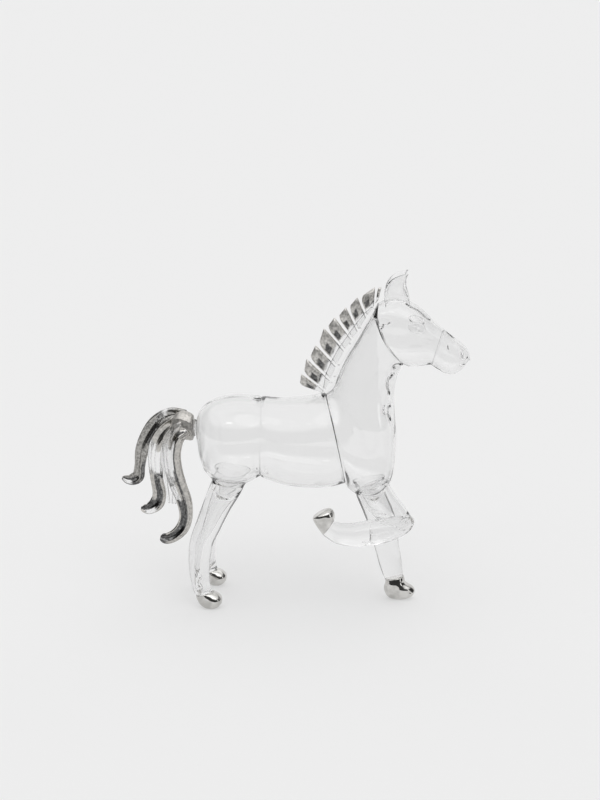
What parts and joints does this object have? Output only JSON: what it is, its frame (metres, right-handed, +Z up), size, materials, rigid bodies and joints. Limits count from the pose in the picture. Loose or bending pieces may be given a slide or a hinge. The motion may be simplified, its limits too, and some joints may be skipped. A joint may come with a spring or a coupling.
{
  "type": "glass horse figurine",
  "caption": "Hollow clear glass horse walking with a foreleg raised, with mirror-silvered hooves, mane lobes and tail locks.",
  "frame": {"origin": "on the surface that the horse stands on, under the middle of its outline", "axes": "+X towards the nose, +Y towards the horse's left side, +Z up"},
  "size_m": [0.1436, 0.0358, 0.1407],
  "materials": {
    "clear_glass": "clear, fire-polished, faintly rippled",
    "silver_lustre": "bright metallic lustre fired on glass, mottled where it is thin"
  },
  "bodies": {
    "root": {"hindquarters": "clear_glass", "barrel": "clear_glass", "forequarters": "clear_glass", "head": "clear_glass", "muzzle": "clear_glass", "ear_left": "clear_glass", "ear_right": "clear_glass", "eye_left": "clear_glass", "eye_right": "clear_glass", "hind_leg_left": "clear_glass", "hind_leg_right": "clear_glass", "foreleg_standing": "clear_glass", "raised_forearm": "clear_glass", "raised_cannon": "clear_glass", "mane_crest": "clear_glass", "tail_stub": "clear_glass", "hoof_hind_left": "silver_lustre", "hoof_hind_right": "silver_lustre", "hoof_fore_standing": "silver_lustre", "hoof_fore_raised": "silver_lustre", "mane_lobe_01": "silver_lustre", "mane_lobe_02": "silver_lustre", "mane_lobe_03": "silver_lustre", "mane_lobe_04": "silver_lustre", "mane_lobe_05": "silver_lustre", "mane_lobe_06": "silver_lustre", "mane_lobe_07": "silver_lustre", "mane_lobe_08": "silver_lustre", "mane_lobe_09": "silver_lustre", "tail_root": "silver_lustre", "tail_lock_far": "silver_lustre", "tail_lock_middle": "silver_lustre", "tail_lock_inner": "silver_lustre", "tail_lock_near": "silver_lustre"}
  },
  "joints": []
}
